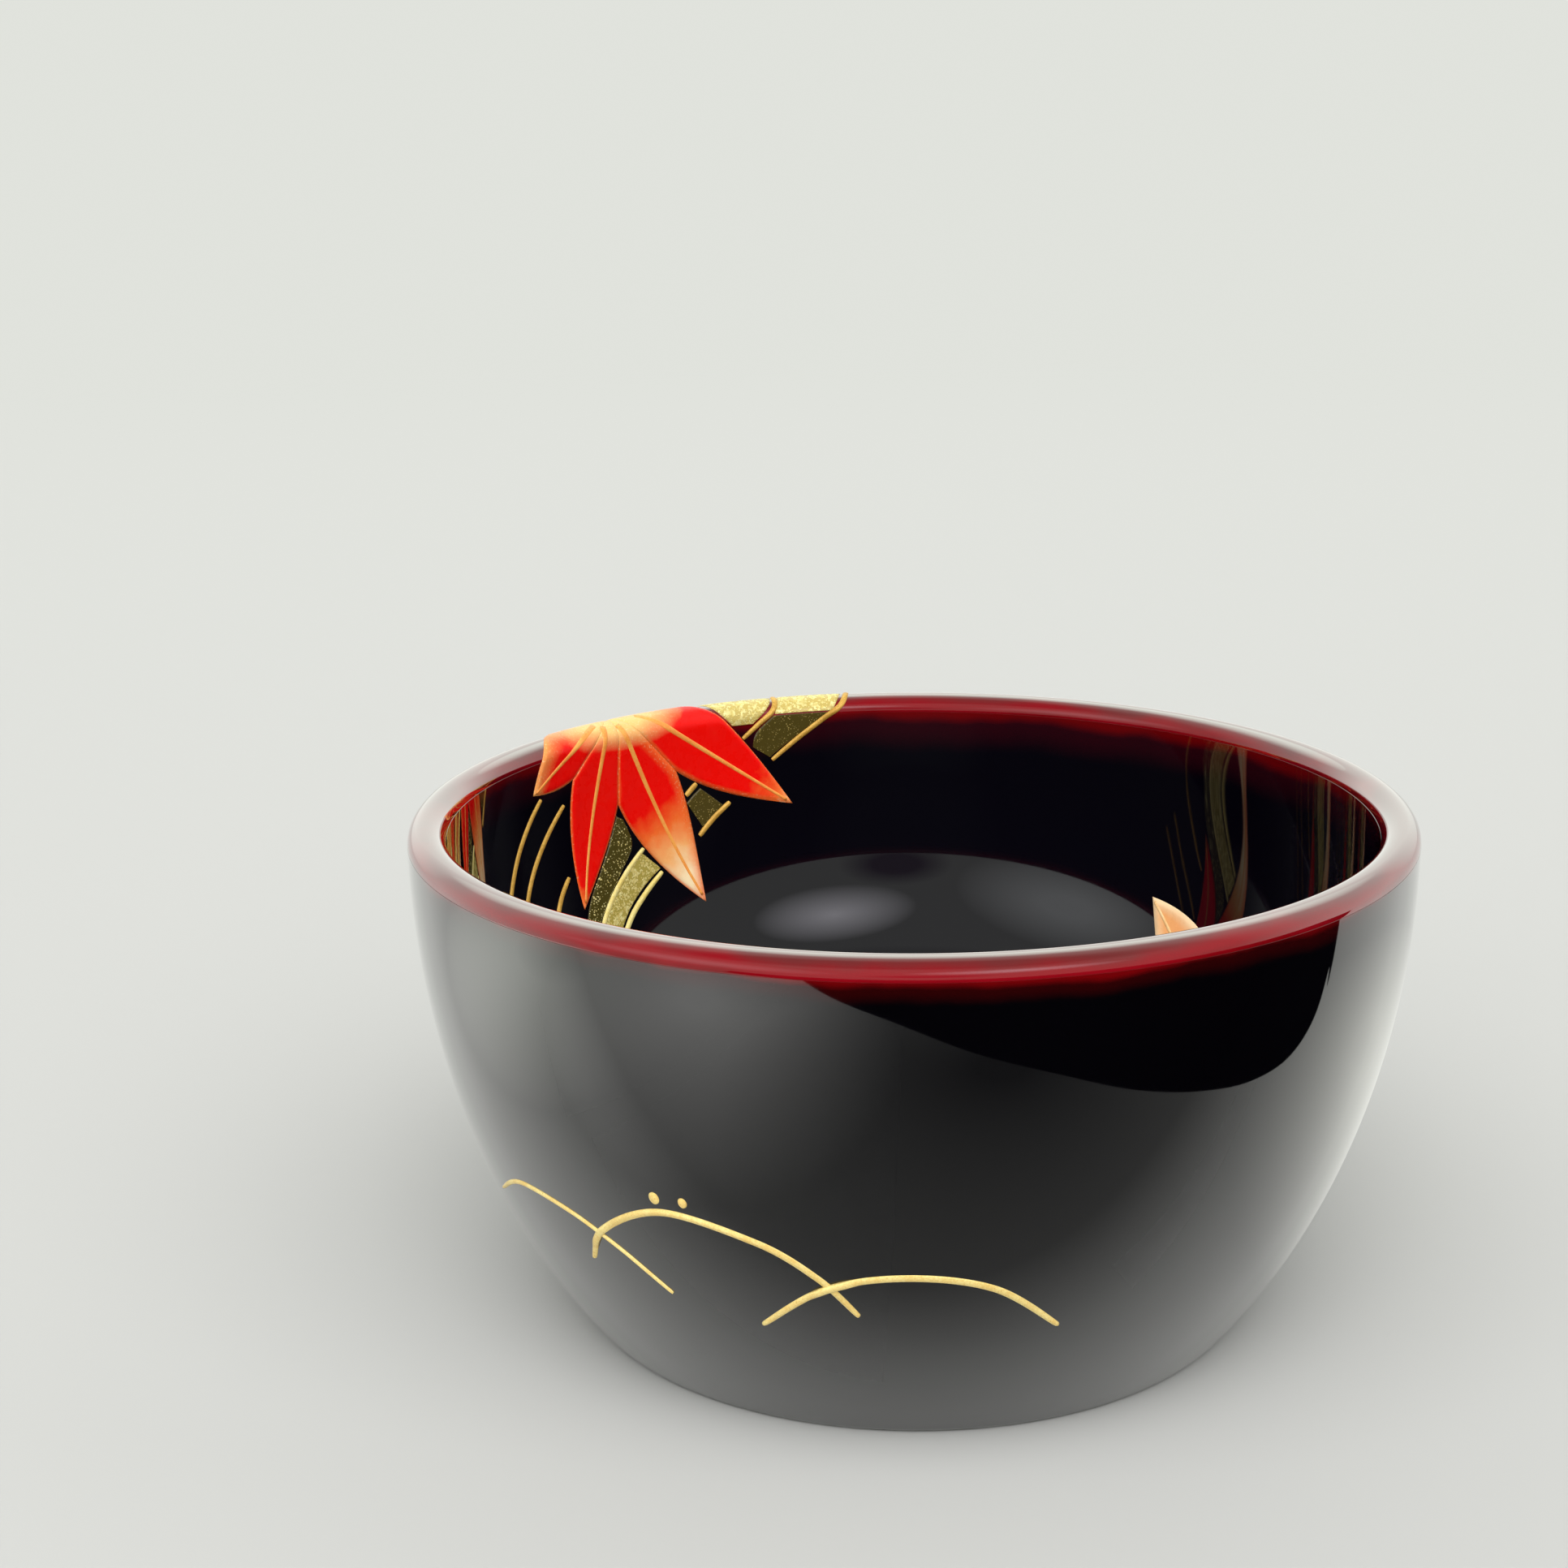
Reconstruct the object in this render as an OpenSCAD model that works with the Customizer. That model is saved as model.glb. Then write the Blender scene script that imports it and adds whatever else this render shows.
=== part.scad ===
// Small turned bowl in layered lacquer, with a raised leaf, flowing water and hills.
// Millimetres, +Z up. The origin is on the bowl's axis, in the plane of its foot.
// Positions of painted work are [t, s]: t is the angle round the axis in degrees, s is the distance
// along the finished skin from the inner edge of the lip. s is positive down the inside, and negative
// over the lip and down the outside.

/* [Bowl] */
// Diameter over the lip
bowl_d = 66; // [60:0.5:72]
// Height from the table to the top of the lip
bowl_h = 34; // [32:0.5:36]
// Thickness of the round lip
lip_t = 2.5; // [2.2:0.1:3]
// Height of the ellipse that the outer wall follows below the lip
outer_drop = 44.5; // [42:0.5:50]
// Thickness of the floor at its centre, above the recess
floor_t = 2.95; // [2.5:0.05:4]
// How square the inside is, as a superellipse exponent
inner_square = 2.6; // [2.2:0.1:3]

/* [Foot] */
// Rounding between the wall and the resting ring
foot_round = 1; // [0.8:0.1:1.4]
// Radius at the inner edge of the flat resting ring
ring_in_r = 19.6; // [18.5:0.1:20.2]
// Depth of the recess in the foot
recess_h = 1.2; // [0.8:0.1:1.6]

/* [Lacquer] */
// Thickness of the clay ground
ground_t = 0.3; // [0.2:0.05:0.35]
// Thickness of the red middle coat
red_t = 0.15; // [0.1:0.01:0.2]
// Thickness of the dark top coat
dark_t = 0.15; // [0.1:0.01:0.2]
// Thickness of the dark top coat at its thin edge near the lip
dark_edge_t = 0.04; // [0.02:0.01:0.08]
// Distance over which the dark coat thins out towards the lip
dark_fade = 2.4; // [1:0.1:4]
// Height of a raised leaf
leaf_t = 0.14; // [0.08:0.01:0.2]
// Height of a raised gold line
line_t = 0.12; // [0.06:0.01:0.2]
// Thickness of a bed of gold powder
powder_t = 0.05; // [0.03:0.01:0.08]
// Width of a gold line
line_w = 0.54; // [0.3:0.01:0.7]
// Width of a leaf vein
vein_w = 0.45; // [0.2:0.01:0.6]

/* [Hidden] */

bowl_r = bowl_d / 2;
lip_r = lip_t / 2;
lip_z = bowl_h - lip_r;
lip_s = PI * lip_r;
inner_r = bowl_r - lip_t;
inner_h = lip_z - recess_h - floor_t;
coats_t = ground_t + red_t + dark_t;
deg = 180 / PI;

// ---- The finished skin ----

function unit(v) = v / norm(v);

// Skin point down the inside wall, as [r, z, outward normal angle]
function inside_at(s) =
    let (a = s / inner_r * deg,
         c = max(cos(a), 0),
         d = max(sin(a), 0),
         e = inner_square,
         rho = pow(pow(c / inner_r, e) + pow(d / inner_h, e), -1 / e),
         nr = -pow(c * rho / inner_r, e - 1) / inner_r,
         nz = pow(d * rho / inner_h, e - 1) / inner_h)
    [rho * c, lip_z - rho * d, atan2(nz, nr)];

// Skin point round the lip
function lip_at(s) =
    let (a = 180 + s / lip_r * deg)
    [bowl_r - lip_r + lip_r * cos(a), lip_z + lip_r * sin(a), a];

// Skin point down the outside wall
function outside_at(s) =
    let (a = (s + lip_s) / outer_drop * deg)
    [bowl_r * cos(a), lip_z + outer_drop * sin(a), atan2(sin(a) / outer_drop, cos(a) / bowl_r)];

function skin_at(s) = s >= 0 ? inside_at(s) : s > -lip_s ? lip_at(s) : outside_at(s);

// A skin point moved out by lift, as [r, z]
function lifted(p, lift) = [p[0] + lift * cos(p[2]), p[1] + lift * sin(p[2])];

// A painted point in space: angle t, distance s, height above the skin
function paint_at(t, s, lift) =
    let (p = lifted(skin_at(s), lift))
    [p[0] * cos(t), p[0] * sin(t), p[1]];

// ---- The whole profile, from the inner floor's centre to the foot's centre ----

// The outer wall ends where the foot's rounding starts, which two steps of iteration settle
function wall_angle(z) = asin((z - lip_z) / outer_drop);
function wall_down(z) =
    let (a = wall_angle(z), n = unit([cos(a) / bowl_r, sin(a) / outer_drop]))
    foot_round * (1 + n[1]);
wall_end_z = wall_down(wall_down(wall_down(0)));
wall_end_s = wall_angle(wall_end_z) / deg * outer_drop - lip_s;
wall_end = outside_at(wall_end_s);
foot_r = wall_end[0] - foot_round * cos(wall_end[2]);

// The resting ring's inner rounding, the 45 degree slope and the recess's fillet
ring_round = 0.8;
recess_round = 0.6;
slope_cut = (ring_round + recess_round) * sin(45);
slope_rise = recess_h - (ring_round + recess_round) * (1 - cos(45));
recess_r = ring_in_r - slope_cut - slope_rise;

function arc(r, z, size, a0, a1, n) =
    [for (i = [0:n]) let (a = a0 + (a1 - a0) * i / n) [r + size * cos(a), z + size * sin(a), a]];

inside_steps = 44;
lip_steps = 16;
outside_steps = 44;
quarter_s = inner_r * PI / 2;
inside_pts = [for (i = [0:inside_steps]) inside_at(quarter_s * (1 - i / inside_steps))];
lip_pts = [for (i = [1:lip_steps]) lip_at(-lip_s * i / lip_steps)];
outside_pts = [for (i = [1:outside_steps - 1])
    outside_at(-lip_s + (wall_end_s + lip_s) * i / outside_steps)];
foot_edge_pts = arc(foot_r, foot_round, foot_round, wall_end[2], -90, 6);
foot_pts = concat(
    arc(ring_in_r, ring_round, ring_round, -90, -135, 4),
    [for (p = arc(0, 0, recess_round, -135, -90, 4))
        [recess_r - p[0], recess_h - recess_round - p[1], p[2]]],
    [[0, recess_h, -90]]);
profile = concat(inside_pts, lip_pts, outside_pts, foot_edge_pts, foot_pts);

// Places along the profile where coats start and end
crest = inside_steps + lip_steps / 2;
dark_in = inside_steps;
dark_out = inside_steps + lip_steps;
foot_from = len(inside_pts) + len(lip_pts) + len(outside_pts) + len(foot_edge_pts) - 1;
last = len(profile) - 1;

// Distance along the skin between profile points i and j
function run(i, j) = i >= j ? 0 :
    norm([for (k = [0, 1]) profile[i + 1][k] - profile[i][k]]) + run(i + 1, j);

// Thickness of the dark coat at profile point i
function dark_at(i) =
    let (gone = i > dark_in && i < dark_out,
         away = i <= dark_in ? run(i, dark_in) : run(dark_out, i))
    gone ? 0 : dark_edge_t + (dark_t - dark_edge_t) * min(1, away / dark_fade);
dark = [for (i = [0:last]) i > dark_in - 6 && i < dark_out + 6 ? dark_at(i) : dark_t];

function sunk(i, depth) = lifted(profile[i], -depth);
function backwards(v) = [for (i = [len(v) - 1:-1:0]) v[i]];

// The red coat's face: bare on the lip, and under the dark coat elsewhere, with a small step between
function red_face(i0, i1) = [for (i = [i0:i1]) each
    i == dark_in && i1 > dark_in ? [sunk(i, dark[i]), sunk(i, 0)] :
    i == dark_out && i0 < dark_out ? [sunk(i, 0), sunk(i, dark[i])] : [sunk(i, dark[i])]];
function dark_back(i0, i1) = [for (i = [i0:i1]) sunk(i, dark[i])];
function level(i0, i1, depth) = [for (i = [i0:i1]) sunk(i, depth)];

module coat(front, back) rotate_extrude($fn = 180) polygon(concat(front, backwards(back)));

module wood_core() color("peru")
    rotate_extrude($fn = 180) polygon(level(0, last, coats_t));

module ground_coat(i0, i1) color("dimgray")
    coat(level(i0, i1, red_t + dark_t), level(i0, i1, coats_t));
module red_coat(i0, i1) color("firebrick")
    coat(red_face(i0, i1), level(i0, i1, red_t + dark_t));
module dark_coat(i0, i1) color([0.07, 0.02, 0.04])
    coat(level(i0, i1, 0), dark_back(i0, i1));
module dark_foot() color([0.07, 0.02, 0.04])
    coat(level(foot_from, last, 0), level(foot_from, last, red_t + dark_t));

// ---- Painted work ----

// A smooth curve through points p, n steps to a span
function spline(p, n) = let (m = len(p) - 1) [for (i = [0:m - 1], j = [0:i == m - 1 ? n : n - 1])
    let (u = j / n, a = p[max(i - 1, 0)], b = p[i], c = p[i + 1], d = p[min(i + 2, m)])
    0.5 * (2 * b + (c - a) * u + (2 * a - 5 * b + 4 * c - d) * u * u
        + (3 * b - a - 3 * c + d) * u * u * u)];

// Radius at s, for turning widths in millimetres into degrees
function round_at(s) = skin_at(s)[0];

// Steps between [t, s] points in millimetres, and the sideways unit at point i of path p
function step(p, q) = [(q[0] - p[0]) / deg * round_at(p[1]), q[1] - p[1]];
function side(p, i) =
    let (d = unit(step(p[max(i - 1, 0)], p[min(i + 1, len(p) - 1)])))
    [-d[1], d[0]];
function beside(p, i, w) =
    let (n = side(p, i))
    [p[i][0] + n[0] * w / round_at(p[i][1]) * deg, p[i][1] + n[1] * w];

// A brush line is full in the middle and thin at its ends
function brush(u, ends) = ends + (1 - ends) * pow(sin(180 * u), 0.35);

bead = [[-1, 0], [-0.75, 0.7], [0, 1], [0.75, 0.7], [1, 0]];

// A raised line along path p, which rises by hop within hop_w of place hop_at
module line(p, w, t = line_t, ends = 0.5, hop_at = [0, 999], hop = 0) {
    n = len(p);
    k = len(bead);
    pts = [for (i = [0:n - 1], b = bead)
        let (q = beside(p, i, b[0] * w / 2 * brush(i / (n - 1), ends)),
             far = norm(step(hop_at, p[i])),
             rise = hop * max(0, min(1, 2 - far / 0.9)))
        paint_at(q[0], q[1], b[1] * t + rise)];
    sides = [for (i = [0:n - 2], j = [0:k - 1])
        let (a = i * k + j, b = i * k + (j + 1) % k)
        each [[a, b, a + k], [b, b + k, a + k]]];
    polyhedron(pts, concat([[for (j = [k - 1:-1:0]) j]], sides, [[for (j = [0:k - 1]) (n - 1) * k + j]]));
}

// A raised patch between two [t, s] edges of equal length, which meet where closed
module patch(left, right, t, across = 6, closed = true) {
    n = len(left);
    rows = closed ? [1:n - 2] : [0:n - 1];
    m = closed ? n - 2 : n;
    k = across + 1;
    sheet = function (lift) [for (i = rows, j = [0:across])
        let (q = left[i] + (right[i] - left[i]) * j / across)
        paint_at(q[0], q[1], lift)];
    tips = closed ? [for (lift = [0, t], e = [0, n - 1]) paint_at(left[e][0], left[e][1], lift)] : [];
    pts = concat(sheet(0), sheet(t), tips);
    top = m * k;
    base = 2 * m * k;
    quads = [for (i = [0:m - 2], j = [0:across - 1])
        let (a = i * k + j)
        each [[a, a + 1, a + k], [a + 1, a + k + 1, a + k],
              [top + a, top + a + k, top + a + 1], [top + a + 1, top + a + k, top + a + k + 1]]];
    edges = [for (i = [0:m - 2], j = [0, across])
        let (a = i * k + j, b = a + k)
        each j == 0 ? [[a, b, top + a], [b, top + b, top + a]] : [[b, a, top + b], [a, top + a, top + b]]];
    z = (m - 1) * k;
    caps = closed
        ? [for (j = [0:across - 1]) each
            [[base, j + 1, j], [base + 2, top + j, top + j + 1],
             [base + 1, z + j, z + j + 1], [base + 3, top + z + j + 1, top + z + j]]]
        : [for (j = [0:across - 1]) each
            [[j + 1, j, top + j], [j + 1, top + j, top + j + 1],
             [z + j, z + j + 1, top + z + j], [z + j + 1, top + z + j + 1, top + z + j]]];
    ends = !closed ? [] : [
        [base, 0, top], [base, top, base + 2],
        [across, base, base + 2], [across, base + 2, top + across],
        [z, base + 1, base + 3], [z, base + 3, top + z],
        [base + 1, z + across, top + z + across], [base + 1, top + z + across, base + 3]];
    polyhedron(pts, concat(quads, edges, caps, ends));
}

// Leaves are drawn flat, in millimetres about the leaf's centre, x round the bowl and y up the inside
function leaf_spot(home, q) =
    let (s = home[1] - q[1])
    [home[0] - q[0] / round_at(s) * deg, s];
function bend(a, b, c, u) = (1 - u) * (1 - u) * a + 2 * u * (1 - u) * b + u * u * c;

// One edge of a lobe: straight out to the notch, then bulging out to the tip
function lobe_edge(notch, tip, bulge) =
    let (d = tip - notch, mid = notch + 0.4 * d + bulge * [-d[1], d[0]])
    concat([for (i = [0:4]) notch * i / 5], [for (i = [0:12]) bend(notch, mid, tip, i / 12)]);

module lobe(home, notch_a, tip, notch_b, bulge_a, bulge_b) {
    left = [for (q = lobe_edge(notch_a, tip, -bulge_a)) leaf_spot(home, q)];
    right = [for (q = lobe_edge(notch_b, tip, bulge_b)) leaf_spot(home, q)];
    patch(left, right, leaf_t);
}
module vein(home, root, tip, w) {
    path = [for (i = [0:20]) leaf_spot(home, root + (tip - root) * 0.96 * i / 20)];
    n = len(path);
    pts = [for (i = [0:n - 1], k = [[-1, 0], [1, 0], [0.6, 1], [-0.6, 1]])
        let (q = beside(path, i, k[0] * w / 2 * (1 - 0.55 * i / (n - 1))))
        paint_at(q[0], q[1], leaf_t + k[1] * 0.05)];
    sides = [for (i = [0:n - 2], j = [0:3])
        let (a = i * 4 + j, b = i * 4 + (j + 1) % 4)
        each [[a, a + 4, b], [b, a + 4, b + 4]]];
    z = 4 * (n - 1);
    polyhedron(pts, concat([[0, 1, 2, 3]], sides, [[z + 3, z + 2, z + 1, z]]));
}

// The big leaf sits across the lip; lobes 1 to 4 hang inside and 5 to 7 are outside
big_home = [135, -2.4];
big_tips = [[-9.5, -4.6], [-5.2, -14], [6.1, -15.7], [14.5, -9.2], [7.6, 5.2], [2.6, 6.2], [-6, 2.6]];
big_notches = [[-4.9, -4.4], [-0.5, -7.2], [5, -5.6], [5, 1.6], [2.8, 2.6], [-1.6, 2.6], [-5.3, 0.6]];
big_bulges = [[0.16, 0.15], [0.1, 0.12], [0.11, 0.1], [0.12, 0.1], [0.1, 0.1], [0.1, 0.1], [0.1, 0.1]];
big_roots = [[-1.9, -0.8], [-1.2, -1.1], [0.1, -1.2], [2.2, -0.6], [1.2, 0.6], [0.3, 0.9], [-1, 0.4]];

module big_lobe(i) color([0.82, 0.06, 0.02])
    lobe(big_home, big_notches[(i + 6) % 7], big_tips[i], big_notches[i],
        big_bulges[i][0], big_bulges[i][1]);
module big_veins() color("goldenrod")
    for (i = [0:6]) vein(big_home, big_roots[i], big_tips[i], vein_w);
big_stem_path = [[-1.9, 3], [-2.5, 4.6], [-3.4, 6.2], [-4.8, 7.8]];
module big_stem() color("goldenrod")
    line(spline([for (q = big_stem_path) leaf_spot(big_home, q)], 8), line_w);

// The second leaf lies low on the inside, at the front right
low_home = [30.2, 21.4];
low_tips = [[-0.9, 7.2], [-10.5, 9], [-13.4, -1.2], [-8.8, -8.8], [0, -8.6]];
low_notches = [[1.8, 2.4], [-2.3, 4.6], [-5.6, 1.9], [-4.8, -2.8], [-2.2, -4.4], [1.8, -3]];
low_bulges = [[0.12, 0.12], [0.24, 0.12], [0.14, 0.14], [0.14, 0.14], [0.12, 0.12]];

module low_lobe(i) color([0.93, 0.6, 0.38])
    lobe(low_home, low_notches[i], low_tips[i], low_notches[i + 1], low_bulges[i][0], low_bulges[i][1]);
module low_veins() color("goldenrod")
    for (tip = low_tips) vein(low_home, tip * 0.08, tip, vein_w);
module low_stem() color("goldenrod")
    line(spline([for (q = [[1.2, -0.1], [2.8, 0.1], [4.6, -0.5]]) leaf_spot(low_home, q)], 8), line_w);

// Hills, drawn low on the outside front
hill_left = [[-151.4, -25], [-143, -22.7], [-133.5, -22.8], [-126, -24.5], [-119.6, -27.3]];
hill_middle = [[-131.6, -26.4], [-127.5, -23.2], [-118, -20.4], [-107, -21.4], [-100.3, -23.8],
    [-96, -26.8]];
hill_right = [[-107.9, -28.5], [-99.4, -24.6], [-90, -23.4], [-80.5, -24.5], [-72.3, -28.3]];
left_cross = [-128.9, -23.8];
right_cross = [-98.9, -24.5];
dots = [[-118.6, -19.4], [-115, -19.3]];
dot_r = [0.36, 0.3];

module hill(points, w, cross = [0, 999]) color("gold")
    line(spline(points, 10), w, hop_at = cross, hop = line_t);
module dot(i) color("gold")
    translate(paint_at(dots[i][0], dots[i][1], -dark_t / 2))
    rotate([0, 0, dots[i][0]])
    rotate([0, 90 - skin_at(dots[i][1])[2], 0])
    cylinder(h = dark_t / 2 + line_t, r = dot_r[i], $fn = 32);

// The stream's gold lines. Two come up the outside and over the lip, and go on past the big leaf.
streams = [
    [[151.2, 2.7], [154.4, 4.2], [157.8, 6.1], [161, 8.4], [164, 11]],
    [[146.4, 3.7], [150.6, 5.6], [154.6, 7.7], [157.4, 9.6], [160, 12]],
    [[147, 9], [149.2, 10.1], [151, 11.3], [153.4, 13]],
    [[132.2, 8.5], [136, 10], [139.7, 11.7], [142.8, 13.5], [145.8, 15.8]],
    [[129.5, 10.5], [132.9, 11.7], [136.4, 13.1], [139.2, 14.7], [142, 17]],
    [[79, -14.6], [88, -13.6], [97, -11], [104, -8], [108, -5], [109.2, -2.6], [109.8, -0.8], [112.4, 0.4],
        [114.8, 1.4]],
    [[122.4, 4.4], [123.3, 4.8], [124.2, 5.2]],
    [[83, -11.2], [90, -9.6], [96, -7.2], [98.6, -4.6], [98.8, -2.6], [99.8, -0.8], [102.6, 0.3],
        [106.6, 1.8], [110.4, 3.3]],
    [[117.2, 6.2], [119.9, 7.2], [122.5, 8.4]]
];
module stream_line(i) color("goldenrod")
    line(spline(streams[i], 8), line_w * 0.85, ends = 0.6);

// Beds of gold powder between the lines
module powder(edge_a, edge_b) color([0.62, 0.5, 0.2])
    patch(spline(edge_a, 6), spline(edge_b, 6), powder_t, 5, closed = false);
module powder_low()
    powder([[132.4, 8.9], [136.2, 10.4], [139.9, 12.1], [142.8, 13.85]],
        [[129.9, 10.1], [133.4, 11.2], [136.9, 12.6], [139.8, 14.2]]);
module powder_middle()
    powder([[136.3, 5.7], [138, 7.6], [140.4, 9.4], [143.4, 11.2], [145.1, 12.6]],
        [[135.3, 6], [134.4, 8], [137.1, 9.8], [141.1, 11.9], [143.5, 13.2]]);
module powder_gap()
    powder([[121.6, 4.9], [122.9, 5.4], [124, 5.9]],
        [[118.4, 6.3], [120.2, 7], [121.9, 7.7]]);
module powder_high()
    powder([[109.5, -0.2], [111.7, 0.75], [112.7, 1.45], [113.1, 2.2]],
        [[102.4, -0.2], [105.2, 0.85], [108.4, 2], [110.9, 3]]);
module powder_lip()
    powder([[101.8, -0.3], [100.8, -1.4], [100.1, -2.8], [99.8, -4.8]],
        [[109.2, -0.3], [108.6, -1.4], [108, -2.8], [106.9, -4.8]]);
module powder_rim()
    powder([[113.4, 0.3], [111.1, -1], [110.5, -2.4], [110, -4.4]],
        [[116.2, 0.3], [118, -1], [119.6, -2.4], [120.6, -4.4]]);

wood_core();
ground_coat(0, crest);  // ground_inside
ground_coat(crest, foot_from);  // ground_outside
ground_coat(foot_from, last);  // ground_foot
red_coat(0, crest);  // red_coat_inside
red_coat(crest, foot_from);  // red_coat_outside
dark_coat(0, dark_in);  // dark_coat_inside
dark_coat(dark_out, foot_from);  // dark_coat_outside
dark_foot();  // dark_coat_foot
hill(hill_left, line_w * 0.7);  // hill_line_left
hill(hill_middle, line_w, left_cross);  // hill_line_middle
hill(hill_right, line_w, right_cross);  // hill_line_right
dot(0);  // gold_dot_left
dot(1);  // gold_dot_right
big_lobe(0);  // big_leaf_lobe_1
big_lobe(1);  // big_leaf_lobe_2
big_lobe(2);  // big_leaf_lobe_3
big_lobe(3);  // big_leaf_lobe_4
big_lobe(4);  // big_leaf_lobe_5
big_lobe(5);  // big_leaf_lobe_6
big_lobe(6);  // big_leaf_lobe_7
big_veins();  // big_leaf_veins
big_stem();  // big_leaf_stem
low_lobe(0);  // low_leaf_lobe_1
low_lobe(1);  // low_leaf_lobe_2
low_lobe(2);  // low_leaf_lobe_3
low_lobe(3);  // low_leaf_lobe_4
low_lobe(4);  // low_leaf_lobe_5
low_veins();  // low_leaf_veins
low_stem();  // low_leaf_stem
stream_line(0);  // stream_line_1
stream_line(1);  // stream_line_2
stream_line(2);  // stream_line_3
stream_line(3);  // stream_line_4
stream_line(4);  // stream_line_5
stream_line(5);  // stream_line_6
stream_line(6);  // stream_line_7
stream_line(7);  // stream_line_8
stream_line(8);  // stream_line_9
powder_low();
powder_middle();
powder_gap();
powder_high();
powder_lip();
powder_rim();
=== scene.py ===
"""Looks for a small turned bowl in layered lacquer: smooth polished coats, raised painted leaves,
gold lines and gold powder. Painted places are (t, s): t is the angle round the axis in degrees, and
s is the distance in millimetres along the finished skin from the inner edge of the lip, positive
down the inside and negative over the lip and down the outside."""

import math

import bmesh
import bpy
import numpy as np
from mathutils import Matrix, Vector


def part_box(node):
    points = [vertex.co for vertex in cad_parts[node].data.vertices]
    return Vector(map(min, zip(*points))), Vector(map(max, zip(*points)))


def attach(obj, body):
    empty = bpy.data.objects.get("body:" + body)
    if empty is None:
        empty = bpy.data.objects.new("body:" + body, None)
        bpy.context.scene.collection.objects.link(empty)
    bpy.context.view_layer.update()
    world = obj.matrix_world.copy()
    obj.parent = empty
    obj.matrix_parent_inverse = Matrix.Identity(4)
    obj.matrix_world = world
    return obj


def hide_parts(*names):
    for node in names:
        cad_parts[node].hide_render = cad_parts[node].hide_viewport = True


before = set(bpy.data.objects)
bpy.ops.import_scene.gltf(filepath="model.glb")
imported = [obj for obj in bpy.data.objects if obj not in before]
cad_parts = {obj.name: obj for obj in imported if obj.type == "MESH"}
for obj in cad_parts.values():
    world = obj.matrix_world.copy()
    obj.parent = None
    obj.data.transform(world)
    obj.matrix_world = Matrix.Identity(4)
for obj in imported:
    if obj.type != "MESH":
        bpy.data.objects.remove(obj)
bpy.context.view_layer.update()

MM = 0.001

# ---- Sizes, in millimetres, repeated from the CAD source ----

outer_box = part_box("dark_coat_outside")
lip_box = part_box("red_coat_outside")
BOWL_R = (outer_box[1][0] - outer_box[0][0]) / 2 / MM
BOWL_H = lip_box[1][2] / MM
LIP_T = 2.5
OUTER_DROP = 44.5
FLOOR_T = 2.95
INNER_SQUARE = 2.6
FOOT_ROUND = 1.0
RING_IN_R = 19.6
RECESS_H = 1.2
RING_ROUND = 0.8
RECESS_ROUND = 0.6
RED_T = 0.15
DARK_T = 0.15
DARK_EDGE_T = 0.04
DARK_FADE = 2.4
LEAF_T = 0.14
LINE_T = 0.12
POWDER_T = 0.05
LINE_W = 0.54
VEIN_W = 0.45
SINK = 0.02  # how far paint reaches into the coat below it

LIP_R = LIP_T / 2
LIP_Z = BOWL_H - LIP_R
LIP_S = math.pi * LIP_R
INNER_R = BOWL_R - LIP_T
INNER_H = LIP_Z - RECESS_H - FLOOR_T

# Mesh fineness
ROUND_STEPS = 288
INSIDE_STEPS = 120
LIP_STEPS = 64
OUTSIDE_STEPS = 120
ARC_STEPS = 12


# ---- The finished skin, as (r, z, angle of the outward normal in radians) ----

def inside_at(s):
    a = s / INNER_R
    c = max(math.cos(a), 0.0)
    d = max(math.sin(a), 0.0)
    e = INNER_SQUARE
    rho = ((c / INNER_R) ** e + (d / INNER_H) ** e) ** (-1 / e)
    nr = -((c * rho / INNER_R) ** (e - 1)) / INNER_R
    nz = (d * rho / INNER_H) ** (e - 1) / INNER_H
    return rho * c, LIP_Z - rho * d, math.atan2(nz, nr)


def lip_at(s):
    a = math.pi + s / LIP_R
    return BOWL_R - LIP_R + LIP_R * math.cos(a), LIP_Z + LIP_R * math.sin(a), a


def outside_at(s):
    a = (s + LIP_S) / OUTER_DROP
    normal = math.atan2(math.sin(a) / OUTER_DROP, math.cos(a) / BOWL_R)
    return BOWL_R * math.cos(a), LIP_Z + OUTER_DROP * math.sin(a), normal


def skin_at(s):
    if s >= 0:
        return inside_at(s)
    return lip_at(s) if s > -LIP_S else outside_at(s)


def lifted(p, lift):
    return p[0] + lift * math.cos(p[2]), p[1] + lift * math.sin(p[2])


def paint_at(t, s, lift):
    """A painted point in millimetres."""
    r, z = lifted(skin_at(s), lift)
    t = math.radians(t)
    return r * math.cos(t), r * math.sin(t), z


# ---- The whole profile, from the inner floor's centre to the foot's centre ----

def wall_angle(z):
    return math.asin((z - LIP_Z) / OUTER_DROP)


def wall_down(z):
    """Height at which the foot's rounding leaves the wall, one step of iteration from z."""
    a = wall_angle(z)
    n = (math.cos(a) / BOWL_R, math.sin(a) / OUTER_DROP)
    return FOOT_ROUND * (1 + n[1] / math.hypot(*n))


def arc(r, z, size, a0, a1, steps):
    angles = [a0 + (a1 - a0) * i / steps for i in range(steps + 1)]
    return [(r + size * math.cos(a), z + size * math.sin(a), a) for a in angles]


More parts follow.
